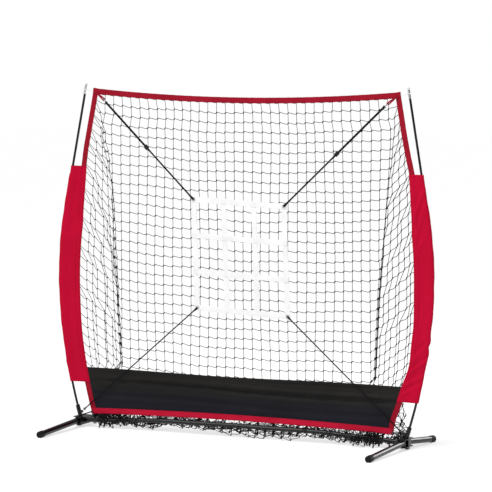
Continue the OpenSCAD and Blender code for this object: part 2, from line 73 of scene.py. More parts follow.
lamps = [
    # name, kind, place, size (a sun's is an angle), power
    ("front_lamp", "AREA", (-3.6, -6.6, 3.4), 2.0, 90),
    ("top_lamp", "AREA", (0.9, -1.4, 4.0), 1.1, 34),
    ("rim_lamp", "AREA", (1.9, 3.6, 1.25), 1.5, 50),
    ("overhead_softbox", "SUN", (-1.6, -3.4, 6.5), math.radians(34), 1.45),
]
for name, kind, place, size, power in lamps:
    lamp = bpy.data.objects.new(name, bpy.data.lights.new(name, kind))
    if kind == "SUN":
        lamp.data.angle = size
    else:
        lamp.data.size = size
    lamp.data.energy = power
    lamp.visible_camera = False
    lamp.location = place
    aim = NET_MIDDLE - mathutils.Vector(place)
    lamp.rotation_euler = aim.to_track_quat("-Z", "Y").to_euler()
    bpy.context.scene.collection.objects.link(lamp)

bpy.ops.mesh.primitive_plane_add(size=60, location=(0, 0, 0))
floor = bpy.context.object
floor.name = "floor"
chalk = bpy.data.materials.new("pale_floor")
chalk.use_nodes = True
paint = chalk.node_tree.nodes["Principled BSDF"].inputs
paint["Base Color"].default_value = (FLOOR_GREY, FLOOR_GREY, FLOOR_GREY, 1)
paint["Roughness"].default_value = 0.9
paint["Specular IOR Level"].default_value = 0.0
paint["Emission Color"].default_value = (1, 1, 1, 1)
paint["Emission Strength"].default_value = FLOOR_GLOW
floor.data.materials.append(chalk)


# ---- pale tip cords and black corner ties ----
# Each top corner of the net is tied to its pole tip with a thin pale braided cord,
# and each bottom corner to its hub with a black elastic cord that ends in knots.
HUB_X, HUB_Z = 0.820, 0.032
# Each pole is two arcs and a straight end, which meet at these heights
LOW_JOINT_Z, HIGH_JOINT_Z, TIP_Z = 0.560, 1.050, 1.596
# Its slope from upright at the foot, at the low joint and at the tip
FOOT, WAIST, TIP = (math.radians(a) for a in (18.1, 5.4, 10.2))
LOW_R = (LOW_JOINT_Z - HUB_Z) / (math.sin(FOOT) - math.sin(WAIST))
LOW_C = (HUB_X - LOW_R * math.cos(FOOT), HUB_Z + LOW_R * math.sin(FOOT))
MID_R = (HIGH_JOINT_Z - LOW_JOINT_Z) / (math.sin(WAIST) + math.sin(TIP))
MID_C = (LOW_C[0] + (LOW_R - MID_R) * math.cos(WAIST), LOW_C[1] - (LOW_R - MID_R) * math.sin(WAIST))
HIGH_X = MID_C[0] + MID_R * math.cos(TIP)
SHIFT = 0.072177                # how far back the hubs stand from the middle of the feet
LEAN = math.radians(1.66)
REACH, NEARER = 0.080, 0.029    # from the pole's middle to the side border's, and how much less at the top
NEARS_FROM, NEARS_TO = 0.950, 1.224


def pole_x(z):
    """Where the pole stands at a height, to the right of the middle."""
    if z < LOW_JOINT_Z:
        return LOW_C[0] + math.sqrt(LOW_R ** 2 - (z - LOW_C[1]) ** 2)
    if z < HIGH_JOINT_Z:
        return MID_C[0] + math.sqrt(MID_R ** 2 - (z - MID_C[1]) ** 2)
    return HIGH_X - (z - HIGH_JOINT_Z) * math.tan(TIP)


def border_x(z):
    """Middle of the side border at a height."""
    nearing = min(max((z - NEARS_FROM) / (NEARS_TO - NEARS_FROM), 0), 1)
    return pole_x(z) - REACH + NEARER * nearing


def leaned(p):
    """Tips points back with the poles, about the hubs."""
    p = np.asarray(p, float)
    dz = p[..., 2] - HUB_Z
    return np.stack([p[..., 0], p[..., 1] * math.cos(LEAN) + dz * math.sin(LEAN) + SHIFT,
                     HUB_Z - p[..., 1] * math.sin(LEAN) + dz * math.cos(LEAN)], axis=-1)


def make_piece(name, verts, faces, finish, uvs=None, smooth=True):
    """A mesh piece at the origin, with its finish and its UV map in metres."""
    mesh = bpy.data.meshes.new(name)
    mesh.from_pydata([tuple(v) for v in verts], [], [tuple(f) for f in faces])
    mesh.update()
    if uvs is not None:
        layer = mesh.uv_layers.new(name="along")
        loops = np.array([u for face in uvs for u in face], float)
        layer.data.foreach_set("uv", loops.ravel())
    if smooth:
        mesh.polygons.foreach_set("use_smooth", [True] * len(mesh.polygons))
    mesh.materials.append(finish)
    piece = bpy.data.objects.new(name, mesh)
    bpy.context.scene.collection.objects.link(piece)
    return piece


def pick(piece):
    """Leaves one piece selected and active."""
    bpy.ops.object.select_all(action="DESELECT")
    piece.select_set(True)
    bpy.context.view_layer.objects.active = piece


def face_outwards(piece):
    """Turns all faces of a piece outwards."""
    pick(piece)
    bpy.ops.object.mode_set(mode="EDIT")
    bpy.ops.mesh.select_all(action="SELECT")
    bpy.ops.mesh.normals_make_consistent(inside=False)
    bpy.ops.object.mode_set(mode="OBJECT")


def fasten(piece, slot, *nodes):
    """Fixes a piece to the frame and hides the plain solids that it stands for. Its slot, a finish's name, is
    not used.
    """
    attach(piece, "frame")
    if nodes:
        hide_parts(*nodes)


def loft(name, rings, finish, capped=True):
    """Skins a row of closed rings, with the UV map in metres along and round."""
    rings = np.asarray(rings, float)
    n, k = rings.shape[:2]
    verts = rings.reshape(-1, 3)
    run = np.concatenate([[0], np.cumsum(np.linalg.norm(np.diff(rings.mean(axis=1), axis=0), axis=1))])
    girth = np.linalg.norm(np.diff(np.concatenate([rings[n // 2], rings[n // 2][:1]]), axis=0), axis=1)
    girth = np.concatenate([[0], np.cumsum(girth)])
    faces, uvs = [], []
    for i in range(n - 1):
        for j in range(k):
            j2 = (j + 1) % k
            faces.append((i * k + j, i * k + j2, (i + 1) * k + j2, (i + 1) * k + j))
            uvs.append(((run[i], girth[j]), (run[i], girth[j + 1]),
                        (run[i + 1], girth[j + 1]), (run[i + 1], girth[j])))
    if capped:
        for i, turn in ((0, -1), (n - 1, 1)):
            face = [i * k + j for j in range(k)][::turn]
            faces.append(face)
            uvs.append([(run[i], girth[j % k]) for j in range(k)])
    piece = make_piece(name, verts, faces, finish, uvs)
    face_outwards(piece)
    return piece


def cord_rings(path, radius, sides=10):
    """Rings of a round cord along a path."""
    path = np.asarray(path, float)
    along = np.gradient(path, axis=0)
    along /= np.linalg.norm(along, axis=1)[:, None]
    side = np.cross(along, (0.03, 1.0, 0.02))
    side /= np.linalg.norm(side, axis=1)[:, None]
    other = np.cross(along, side)
    turn = np.linspace(0, 2 * math.pi, sides, endpoint=False)
    radius = np.broadcast_to(radius, (len(path),))
    return (path[:, None] + radius[:, None, None] * (np.cos(turn)[None, :, None] * side[:, None]
                                                     + np.sin(turn)[None, :, None] * other[:, None]))


def finish_for(name, colour, roughness, metallic=0.0):
    """A material with its flat values set, to be given its grain below."""
    mat = bpy.data.materials.new(name)
    mat.use_nodes = True
    shader = mat.node_tree.nodes["Principled BSDF"]
    shader.inputs["Base Color"].default_value = (*colour, 1)
    shader.inputs["Roughness"].default_value = roughness
    shader.inputs["Metallic"].default_value = metallic
    return mat, mat.node_tree.nodes, mat.node_tree.links, shader


def new_effect(name, inputs, outputs):
    """An empty shader node group with its sockets."""
    group = bpy.data.node_groups.new(name, "ShaderNodeTree")
    for label, kind, value in inputs:
        socket = group.interface.new_socket(label, in_out="INPUT", socket_type=kind)
        if value is not None:
            socket.default_value = value
    for label, kind in outputs:
        group.interface.new_socket(label, in_out="OUTPUT", socket_type=kind)
    return group, group.nodes.new("NodeGroupInput"), group.nodes.new("NodeGroupOutput")


def place_effect(nodes, group, values):
    """Puts a shared effect into a material, with the material's own values."""
    node = nodes.new("ShaderNodeGroup")
    node.node_tree = group
    for label, value in values.items():
        node.inputs[label].default_value = value
    return node


def two_tone(nodes, links, mask, low, high, shader):
    """Mixes two colours by a mask into the base colour."""
    mix = nodes.new("ShaderNodeMix")
    mix.data_type = "RGBA"
    mix.inputs["A"].default_value = (*low, 1)
    mix.inputs["B"].default_value = (*high, 1)
    links.new(mask, mix.inputs["Factor"])
    links.new(mix.outputs["Result"], shader.inputs["Base Color"])
    return mix


def bumped(nodes, links, height, strength, distance, shader):
    """Gives the finish a relief that follows a height."""
    bump = nodes.new("ShaderNodeBump")
    bump.inputs["Strength"].default_value = strength
    bump.inputs["Distance"].default_value = distance
    links.new(height, bump.inputs["Height"])
    links.new(bump.outputs["Normal"], shader.inputs["Normal"])
    return bump


# Braid: two sets of slanted strands that cross, on the cord's own UV map
braid, came, went = new_effect("braid_strands",
                               [("Vector", "NodeSocketVector", None), ("Pitch", "NodeSocketFloat", 400.0)],
                               [("Height", "NodeSocketFloat")])
turned = []
for angle in (0.9, -0.9):
    spun = braid.nodes.new("ShaderNodeVectorRotate")
    spun.rotation_type = "Z_AXIS"
    spun.inputs["Angle"].default_value = angle
    wave = braid.nodes.new("ShaderNodeTexWave")
    wave.inputs["Distortion"].default_value = 0.4
    braid.links.new(came.outputs["Vector"], spun.inputs["Vector"])
    braid.links.new(spun.outputs["Vector"], wave.inputs["Vector"])
    braid.links.new(came.outputs["Pitch"], wave.inputs["Scale"])
    turned.append(wave)
most = braid.nodes.new("ShaderNodeMath")
most.operation = "MAXIMUM"
braid.links.new(turned[0].outputs["Fac"], most.inputs[0])
braid.links.new(turned[1].outputs["Fac"], most.inputs[1])
braid.links.new(most.outputs["Value"], went.inputs["Height"])


def braided(name, low, high, roughness, pitch):
    """Braided cord: its strands in two shades and in relief."""
    mat, nodes, links, shader = finish_for(name, low, roughness)
    place = nodes.new("ShaderNodeTexCoord")
    strands = place_effect(nodes, braid, {"Pitch": pitch})
    links.new(place.outputs["UV"], strands.inputs["Vector"])
    two_tone(nodes, links, strands.outputs["Height"], low, high, shader)
    bumped(nodes, links, strands.outputs["Height"], 0.5, 0.0004, shader)
    return mat


pale_cord = braided("pale_braided_cord", (0.52, 0.53, 0.54), (0.80, 0.81, 0.82), 0.75, 300)
black_elastic_cord = braided("black_elastic_cord", (0.008, 0.008, 0.009), (0.030, 0.030, 0.033), 0.6, 260)

HALF_BORDER = 0.0125            # half the width of the net's border webbing
TOP_Z = TIP_Z - 0.022           # middle of the top border at its corners
TOP_X = border_x(TOP_Z) + HALF_BORDER
BOTTOM_Z = 0.077                # middle of the bottom border at its corners
FERRULE_TIE_Z = TIP_Z - 0.016
WRAP_R = 0.0083                 # the cord's turn round the tip ferrule
HUB_TIE_Z = 0.0554
HUB_TIE_IN = 0.0155             # from the pole's middle to where the black tie meets the hub
KNOT_SWELL, KNOT_LONG = 0.0017, 0.07
for side, word in ((-1, "left"), (1, "right")):
    tied = leaned((side * pole_x(FERRULE_TIE_Z), 0, FERRULE_TIE_Z))
    corner = leaned((side * (TOP_X - 0.004), -0.001, TOP_Z - 0.002))
    start = tied + (corner - tied) / np.linalg.norm(corner - tied) * 0.0086
    shares = np.linspace(0, 1, 16)
    path = [start + (corner - start) * t + np.array((0, 0, -0.0016 * math.sin(math.pi * t))) for t in shares]
    length = float(np.linalg.norm(np.diff(path, axis=0), axis=1).sum())
    tip_cord = loft(f"tip_cord_{word}", cord_rings(path, 0.0015), pale_cord)
    fasten(tip_cord, "pale_cord", "tip_cords")
    turn = np.linspace(0, 2 * math.pi, 28, endpoint=False)
    lay = np.array([[math.cos(a), math.sin(a), 0] for a in turn]) * WRAP_R
    tilt = -side * TIP
    lay = np.stack([lay[:, 0] * math.cos(tilt), lay[:, 1], -lay[:, 0] * math.sin(tilt)], axis=1)
    ring = leaned(np.array((side * pole_x(FERRULE_TIE_Z), 0, FERRULE_TIE_Z)) + lay)
    turns = np.concatenate([ring, ring[:1]])
    wrap = loft(f"tip_cord_wrap_{word}", cord_rings(turns, 0.0016), pale_cord, capped=False)
    fasten(wrap, "pale_cord")

    low = leaned((side * (border_x(BOTTOM_Z) + 0.002), -0.007, BOTTOM_Z - 0.002))
    high = leaned((side * (pole_x(HUB_TIE_Z) - HUB_TIE_IN), -0.007, HUB_TIE_Z))
    path = [low + (high - low) * t for t in shares]
    length = float(np.linalg.norm(high - low))
    knots_at = [sum(math.exp(-((t - knot) / KNOT_LONG) ** 2) for knot in (0.1, 0.9)) for t in shares]
    radius = 0.0030 + KNOT_SWELL * np.array(knots_at)
    corner_tie = loft(f"corner_tie_{word}", cord_rings(path, radius), black_elastic_cord)
    fasten(corner_tie, "black_elastic", "corner_ties")


# ---- hubs, legs and crossbar ----
# Pressed and welded steel, powder coated gloss black: the hubs with their pole sockets,
# four legs that swing on rivets, and the crossbar in four tubes that plug together.
grain, came, went = new_effect("surface_wear",
                               [("Vector", "NodeSocketVector", None), ("Scale", "NodeSocketFloat", 60.0)],
                               [("Smudge", "NodeSocketFloat"), ("Peel", "NodeSocketFloat")])
for label, factor, detail in (("Smudge", 0.12, 4.0), ("Peel", 6.0, 2.0)):
    noise = grain.nodes.new("ShaderNodeTexNoise")
    noise.inputs["Detail"].default_value = detail
    times = grain.nodes.new("ShaderNodeMath")
    times.operation = "MULTIPLY"
    times.inputs[1].default_value = factor
    grain.links.new(came.outputs["Scale"], times.inputs[0])
    grain.links.new(times.outputs["Value"], noise.inputs["Scale"])
    grain.links.new(came.outputs["Vector"], noise.inputs["Vector"])
    grain.links.new(noise.outputs["Fac"], went.inputs[label])


def worn(name, low, high, rough_low, rough_high, scale, peel, metallic=0.0, coat=0.0, gloss_level=0.5):
    """A hard finish with smudges in its colour and gloss, and a fine orange peel."""
    mat, nodes, links, shader = finish_for(name, low, rough_low, metallic)
    shader.inputs["Specular IOR Level"].default_value = gloss_level
    shader.inputs["Coat Weight"].default_value = coat
    shader.inputs["Coat Roughness"].default_value = 0.16
    place = nodes.new("ShaderNodeTexCoord")
    wear = place_effect(nodes, grain, {"Scale": scale})
    links.new(place.outputs["Object"], wear.inputs["Vector"])
    two_tone(nodes, links, wear.outputs["Smudge"], low, high, shader)
    gloss = nodes.new("ShaderNodeMapRange")
    gloss.inputs["From Min"].default_value = 0.35
    gloss.inputs["From Max"].default_value = 0.7
    gloss.inputs["To Min"].default_value = rough_low
    gloss.inputs["To Max"].default_value = rough_high
    links.new(wear.outputs["Smudge"], gloss.inputs["Value"])
    links.new(gloss.outputs["Result"], shader.inputs["Roughness"])
    bumped(nodes, links, wear.outputs["Peel"], peel, 0.0003, shader)
    return mat


def dress(names, finish):
    """Gives solids that keep their shape a finish."""
    for name in names:
        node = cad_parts[name]
        if not node.material_slots:
            node.data.materials.append(finish)
        for place in node.material_slots:
            place.material = finish


black_powder_coat = worn("black_powder_coat", (0.002, 0.002, 0.0024), (0.006, 0.006, 0.0066), 0.16, 0.30,
                         60, 0.12, coat=0.35, gloss_level=0.12)
dress([f"{part}_{word}" for part in ("hub", "front_leg", "rear_leg", "crossbar_outer", "crossbar_inner")
       for word in ("left", "right")], black_powder_coat)
zinc_plate = worn("zinc_plate", (0.30, 0.31, 0.33), (0.52, 0.53, 0.55), 0.28, 0.45,
                  200, 0.1, metallic=1.0)
dress(["crossbar_spigots", "pole_ferrules"], zinc_plate)
black_rivet = worn("black_oxide_rivets", (0.012, 0.012, 0.013), (0.045, 0.045, 0.048), 0.3, 0.5,
                   300, 0.15, metallic=0.6)
dress(["pivot_rivets"], black_rivet)

# Weld beads at the foot of each pole socket and rolled lips at its mouth
SOCKET_MIDDLE_Z = 0.0754
beads = [("weld", 0.0522, 0.0108, 0.0013), ("lip", 0.0984, 0.0092, 0.0011)]    # name, height, two radii
for side, word in ((-1, "left"), (1, "right")):
    for part, z, ring, thick in beads:
        tilt = math.asin((LOW_C[1] - SOCKET_MIDDLE_Z) / LOW_R)
        reach = (z - SOCKET_MIDDLE_Z) / math.cos(tilt)
        spot = leaned((side * (pole_x(SOCKET_MIDDLE_Z) + reach * math.sin(tilt)), 0, z))
        bpy.ops.object.select_all(action="DESELECT")
        bpy.ops.mesh.primitive_torus_add(major_radius=ring, minor_radius=thick, major_segments=48,
                                         minor_segments=10, location=spot, rotation=(-LEAN, side * tilt, 0))
        bead = bpy.context.object
        bead.name = f"socket_{part}_{word}"
        bpy.ops.object.mode_set(mode="EDIT")
        bpy.ops.transform.resize(value=(1.0, 1.0, 1.25))
        bpy.ops.object.mode_set(mode="OBJECT")
        bpy.ops.object.transform_apply(location=True, rotation=True, scale=True)
        bpy.ops.object.shade_smooth()
        bead.data.materials.append(black_powder_coat)
        fasten(bead, "black_steel")


# ---- rubber end caps ----
# A moulded black rubber cap is pushed over each leg's outer end, so that the feet grip
# the ground.
black_rubber = worn("black_rubber", (0.003, 0.003, 0.003), (0.010, 0.010, 0.010), 0.5, 0.7,
                    90, 0.3, gloss_level=0.15)
dress(["front_cap_left", "front_cap_right", "rear_cap_left", "rear_cap_right"], black_rubber)


# ---- poles, end ferrules and tip balls ----
# Three fibreglass rods a side, bowed by the net, with a lengthwise pultruded sheen,
# and a bright steel ferrule with a small ball on each tip.
fibreglass, nodes, links, shader = finish_for("black_fibreglass", (0.006, 0.006, 0.0065), 0.3)
shader.inputs["Specular IOR Level"].default_value = 0.1
shader.inputs["Coat Weight"].default_value = 0.3
place = nodes.new("ShaderNodeTexCoord")
stretch = nodes.new("ShaderNodeMapping")
stretch.inputs["Scale"].default_value = (900, 900, 6)
strands = nodes.new("ShaderNodeTexNoise")
strands.inputs["Scale"].default_value = 1.0
strands.inputs["Detail"].default_value = 3.0
links.new(place.outputs["Object"], stretch.inputs["Vector"])
links.new(stretch.outputs["Vector"], strands.inputs["Vector"])
two_tone(nodes, links, strands.outputs["Fac"], (0.002, 0.0025, 0.003), (0.010, 0.011, 0.012), shader)
bumped(nodes, links, strands.outputs["Fac"], 0.25, 0.0002, shader)
dress([f"pole_{part}_{word}" for part in ("lower", "middle", "upper") for word in ("left", "right")],
      fibreglass)
bright_ferrule = worn("bright_ferrule", (0.42, 0.44, 0.45), (0.66, 0.68, 0.69), 0.16, 0.30,
                      250, 0.06, metallic=1.0)
dress(["tip_ferrule_left", "tip_ferrule_right", "tip_ball_left", "tip_ball_right"], bright_ferrule)


# ---- red border webbing ----
# A 25 mm folded polyester binding sewn all round the netting's edge, with a row of
# lockstitch near each edge. The top one sags a little between the corners.
PITCH = "Threads per metre"
threads, came, went = new_effect("woven_threads",
                                 [("Vector", "NodeSocketVector", None), (PITCH, "NodeSocketFloat", 1200.0)],
                                 [("Height", "NodeSocketFloat"), ("Crossing", "NodeSocketFloat")])
crossed = []
for direction in ("X", "Y"):
    wave = threads.nodes.new("ShaderNodeTexWave")
    wave.bands_direction = direction
    wave.inputs["Distortion"].default_value = 0.6
    wave.inputs["Detail"].default_value = 1.0
    threads.links.new(came.outputs["Vector"], wave.inputs["Vector"])
    threads.links.new(came.outputs[PITCH], wave.inputs["Scale"])
    crossed.append(wave)
for label, operation in (("Height", "MAXIMUM"), ("Crossing", "MULTIPLY")):
    sum_up = threads.nodes.new("ShaderNodeMath")
    sum_up.operation = operation
    threads.links.new(crossed[0].outputs["Fac"], sum_up.inputs[0])
    threads.links.new(crossed[1].outputs["Fac"], sum_up.inputs[1])
    threads.links.new(sum_up.outputs["Value"], went.inputs[label])


def woven(name, low, high, roughness, pitch, sheen, blotch=8.0):
    """Cloth: thread by thread relief, and slow changes of shade over the piece."""
    mat, nodes, links, shader = finish_for(name, low, roughness)
    shader.inputs["Sheen Weight"].default_value = sheen
    shader.inputs["Sheen Roughness"].default_value = 0.4
    shader.inputs["Specular IOR Level"].default_value = 0.06
    place = nodes.new("ShaderNodeTexCoord")
    cloth = place_effect(nodes, threads, {PITCH: pitch})
    links.new(place.outputs["UV"], cloth.inputs["Vector"])
    patch = nodes.new("ShaderNodeTexNoise")
    patch.inputs["Scale"].default_value = blotch
    patch.inputs["Detail"].default_value = 3.0
    links.new(place.outputs["Object"], patch.inputs["Vector"])
    blend = nodes.new("ShaderNodeMath")
    blend.operation = "MULTIPLY_ADD"
    blend.inputs[1].default_value = 0.45
    links.new(cloth.outputs["Crossing"], blend.inputs[0])
    links.new(patch.outputs["Fac"], blend.inputs[2])
    two_tone(nodes, links, blend.outputs["Value"], low, high, shader)
    bumped(nodes, links, cloth.outputs["Height"], 0.4, 0.0003, shader)
    return mat


red_webbing = woven("red_border_webbing", (0.200, 0.0035, 0.012), (0.340, 0.008, 0.024), 0.75, 900, 0.02)
# The bottom border's webbing is the same red webbing in a lighter copy: painted light from the floor below
floor_lit_webbing_copy = woven("red_bottom_webbing_painted_floor_light", (0.330, 0.004, 0.020), (0.500, 0.009, 0.036), 0.75, 900, 0.02)
red_thread = woven("red_stitching", (0.16, 0.004, 0.010), (0.30, 0.010, 0.022), 0.6, 2500, 0.0)


def flat_band(name, path, up, width, thick, finish, ripple=0.0004):
    """A webbing along a path of leaned points, its width along up, with soft edges."""
    path, up = np.asarray(path, float), np.asarray(up, float)
    turn = np.linspace(0, 2 * math.pi, 16, endpoint=False)
    across = np.sign(np.cos(turn)) * np.abs(np.cos(turn)) ** 0.25 * width / 2
    deep = np.sign(np.sin(turn)) * np.abs(np.sin(turn)) ** 0.6 * thick / 2
    run = np.concatenate([[0], np.cumsum(np.linalg.norm(np.diff(path, axis=0), axis=1))])
    swell = 1 + ripple * 40 * np.sin(run * 2 * math.pi / 0.045)
    rings = path[:, None] + up[:, None] * (across[None] * swell[:, None])[..., None]
    rings[..., 1] += deep[None] + (ripple * np.sin(run * 2 * math.pi / 0.13 + 1.0))[:, None]
    return loft(name, leaned(rings), finish)


def stitch_row(path, up, offset, y, step=0.007, gap=0.0022, r=0.00035):
    """Corners and faces of the short threads of one lockstitch row."""
    path, up = np.asarray(path, float), np.asarray(up, float)
    line = path + up * offset
    run = np.concatenate([[0], np.cumsum(np.linalg.norm(np.diff(line, axis=0), axis=1))])
    starts = np.arange(0.004, run[-1] - step, step)
    ends = starts + step - gap
    a, b = (np.stack([np.interp(at, run, line[:, k]) for k in range(3)], axis=1) for at in (starts, ends))
    a[:, 1] = b[:, 1] = y
    along = (b - a) / np.linalg.norm(b - a, axis=1)[:, None]
    side = np.cross(along, (0, 1, 0))
    low, high = a - along * 0.0003, b + along * 0.0003
    corners = []
    for end, lift in ((low, 0.3), (a, 1.0), (b, 1.0), (high, 0.3)):
        for s in (-1, 1):
            corners.append(end + side * s * r * (0.6 if lift < 1 else 1))
            corners[-1][:, 1] += 0.0002
        corners.append(end + np.array((0, -r * 1.6 * lift, 0)))
    verts = np.stack(corners, axis=1)
    one = [(0, 1, 2), (9, 11, 10)]
    one += [(3 * i + j, 3 * i + (j + 1) % 3, 3 * i + 3 + (j + 1) % 3, 3 * i + 3 + j)
            for i in range(3) for j in (0, 1, 2)]
    faces = [[v + 12 * n for v in face] for n in range(len(verts)) for face in one]
    return verts.reshape(-1, 3), faces


def sewn(name, rows, finish):
    """One piece of all the stitch rows of a panel."""
    verts, faces, count = [], [], 0
    for v, f in rows:
        verts.append(v)
        faces += [[i + count for i in face] for face in f]
        count += len(v)
    verts = leaned(np.concatenate(verts))
    uvs = [[(verts[i][0], verts[i][2]) for i in face] for face in faces]
    piece = make_piece(name, verts, faces, finish, uvs, smooth=False)
    face_outwards(piece)
    return piece


TOP_SAG, BOTTOM_RISE = 0.034, 0.013
BOTTOM_X = border_x(BOTTOM_Z) + HALF_BORDER


def top_border_z(x):
    """Height of the top border's middle at a distance from the net's centre line."""
    return TOP_Z - TOP_SAG * (1 - (x / TOP_X) ** 2)


def bottom_border_z(x):
    """Height of the bottom border's middle at a distance from the net's centre line."""
    return BOTTOM_Z + BOTTOM_RISE * (1 - (x / BOTTOM_X) ** 2)


def path_and_up(points):
    """A path as an array, with the direction across it at each point."""
    points = np.asarray(points, float)
    along = np.gradient(points, axis=0)
    along /= np.linalg.norm(along, axis=1)[:, None]
    return points, np.stack([-along[:, 2], 0 * along[:, 0], along[:, 0]], axis=1)


def edge_x(side, z):
    """How far out the side border's middle runs: the cloth pulls unevenly on the two poles."""
    plateau = 1 / (1 + math.exp(-(z - 0.52) / 0.05)) / (1 + math.exp((z - 1.27) / 0.03))
    corner = 0.004 / (1 + math.exp(-(z - 1.33) / 0.04))
    if side < 0:
        return border_x(z) - 0.008 * plateau - corner
    slack = (0.018 * math.exp(-((z - 0.37) / 0.085) ** 2) + 0.012 * math.exp(-((z - 0.52) / 0.12) ** 2)
             - 0.009 * math.exp(-((z - 0.13) / 0.06) ** 2))
    return border_x(z) + 0.006 * plateau + slack - corner


WEBBING_T = 0.0025
STITCH_OUT = 0.0098             # from the webbing's middle to each stitch row
side_heights = np.linspace(BOTTOM_Z - HALF_BORDER, TOP_Z + HALF_BORDER, 140)
# The top and bottom borders lie in front of the side ones, and end a little inside the corners
lines = {
    "border_top": [(x, -0.00125, top_border_z(x)) for x in np.linspace(0.003 - TOP_X, TOP_X - 0.003, 120)],
    "border_bottom": [(x, -0.00125, bottom_border_z(x))
                      for x in np.linspace(-BOTTOM_X, BOTTOM_X - 0.005, 120)],
    "border_left": [(-edge_x(-1, z), 0.00125, z) for z in side_heights],
    "border_right": [(edge_x(1, z), 0.00125, z) for z in side_heights],
}
for name, points in lines.items():
    path, up = path_and_up(points)
    # the bottom border takes the lighter copy, painted floor light
    webbing = flat_band(name + "_webbing", path, up, 0.0265, WEBBING_T,
                        floor_lit_webbing_copy if name == "border_bottom" else red_webbing)
    front = -0.00255 if "top" in name or "bottom" in name else -0.00005
    rows = [stitch_row(path, up, out, front) for out in (-STITCH_OUT, STITCH_OUT)]
    stitches = sewn(name + "_stitching", rows, red_thread)
    fasten(webbing, "red_polyester", name)
    fasten(stitches, "red_polyester", name)


# ---- pole sleeves ----
# A folded strip of bright red polyester, sewn along the side border, that makes a
# tunnel round the pole. It creases where the pole bows, most on the right side.
red_fabric = woven("red_sleeve_fabric", (0.370, 0.0005, 0.018), (0.500, 0.0015, 0.030), 0.7,
                   1500, 0.02, blotch=5.0)


def crease(x, z, x0, z0, angle, long, wide, high):
    """A soft ridge on the fabric at a place, along a direction."""
    a = math.radians(angle)
    u = (x - x0) * math.cos(a) + (z - z0) * math.sin(a)
    v = -(x - x0) * math.sin(a) + (z - z0) * math.cos(a)
    across = np.exp(-(v / wide) ** 2) - 0.5 * np.exp(-((v - 1.6 * wide) / wide) ** 2)
    return high * np.exp(-(u / long) ** 2) * across


# Each crease: distance from the inner edge, height, angle, length, width and depth
sleeve_creases = {
    "left": [(0.06, 1.13, 60, 0.09, 0.011, 0.0022), (0.05, 0.80, 84, 0.16, 0.010, 0.0012),
             (0.05, 0.42, 70, 0.10, 0.012, 0.0016), (0.06, 0.27, 35, 0.06, 0.009, 0.0018),
             (0.03, 0.98, 78, 0.12, 0.009, 0.0012)],
    "right": [(0.055, 1.12, 62, 0.10, 0.010, 0.0034), (0.045, 1.02, 70, 0.10, 0.009, 0.0030),
              (0.050, 0.93, 60, 0.07, 0.009, 0.0022), (0.060, 0.45, 45, 0.06, 0.009, 0.0034),
              (0.055, 0.38, 38, 0.07, 0.009, 0.0036), (0.050, 0.31, 30, 0.08, 0.010, 0.0030),
              (0.040, 0.26, 28, 0.07, 0.010, 0.0018), (0.045, 0.62, 80, 0.14, 0.010, 0.0014)],
}
CREASING = {"left": 1.3, "right": 1.7}
SLEEVE_FOOT, SLEEVE_TOP = 0.2105, 1.2235
TUNNEL_R = 0.0092               # the fabric's middle round the pole
SEAM_IN = 0.0135                # from the side border's middle in to the sleeve's inner edge
SEAM_DEEP = 0.0016              # the front layer's distance from the net's plane along the seam


def thicken(piece, wall, offset):
    """Gives a surface the thickness of its cloth."""
    pick(piece)
    cloth = piece.modifiers.new("cloth", "SOLIDIFY")
    cloth.thickness = wall
    cloth.offset = offset
    bpy.ops.object.modifier_apply(modifier="cloth")


for side, word in ((-1, "left"), (1, "right")):
    heights = np.linspace(SLEEVE_FOOT, SLEEVE_TOP, 210)
    turn = np.linspace(-math.pi / 2, math.pi / 2, 15)
    flat = np.linspace(0, 1, 18)[1:-1]
    swell = 1 / (1 + np.exp(-(flat - 0.70) * 16))
    rings = []
    for z in heights:
        inner, pole = edge_x(side, z) - SEAM_IN, pole_x(z)
        tunnel = TUNNEL_R + 0.0006 * math.sin(z * 31 + side) + 0.0005 * math.sin(z * 67)
        if side > 0:        # two bulges with a kink between them, where the pole bends most
            tunnel += 0.0030 * (math.exp(-((z - 0.492) / 0.016) ** 2) + math.exp(-((z - 0.430) / 0.018) ** 2)
                                - math.exp(-((z - 0.462) / 0.007) ** 2))
        front = np.stack([inner + (pole - inner) * flat, -SEAM_DEEP - (tunnel - SEAM_DEEP) * swell], axis=1)
        back = np.stack([inner + (pole - inner) * flat, 0.0032 + (tunnel - 0.0032) * swell], axis=1)
        round_pole = np.stack([pole + tunnel * np.cos(turn), tunnel * np.sin(turn)], axis=1)
        fold = np.array([(inner - 0.0008, 0.0020), (inner - 0.0012, 0.0008), (inner - 0.0008, -0.0006)])
        ring = np.concatenate([front, round_pole, back[::-1], fold])
        across = ring[:, 0] - inner
        shift = sum(crease(across, z, *c) for c in sleeve_creases[word]) * CREASING[word]
        # no valley goes as deep as the side border behind it
        shift = np.maximum(shift, np.interp(across, [0.026, 0.036], [-0.0011, -0.0040]))
        fade = np.clip(across / 0.02, 0, 1)
        ring[:, 1] -= shift * fade * np.where(ring[:, 1] < 0, 1.0, 0.5)
        ring[:, 0] += 0.25 * shift * fade * (ring[:, 0] > pole)
        rings.append([(side * x, y, z) for x, y in ring])
    sleeve = loft(f"sleeve_{word}_fabric", leaned(np.array(rings)), red_fabric, capped=False)
    thicken(sleeve, 0.0007, -1)
    rows = []
    for offset in (0.0045, 0.0225):
        points = [(side * (edge_x(side, z) - SEAM_IN + offset), 0, z) for z in np.linspace(0.215, 1.219, 120)]
        path, up = path_and_up(points)
        rows.append(stitch_row(path, up, 0, -0.0022))
    for z in (0.2165, 1.2175):
        hem = np.linspace(edge_x(side, z) - 0.008, pole_x(z) - 0.022, 30)
        points = [(side * x, 0, z) for x in hem]
        path, up = path_and_up(points)
        rows.append(stitch_row(path, up, 0, -0.0022))
    stitches = sewn(f"sleeve_{word}_stitching", rows, red_thread)
    fasten(sleeve, "red_polyester", f"sleeve_{word}")
    fasten(stitches, "red_polyester", f"sleeve_{word}")


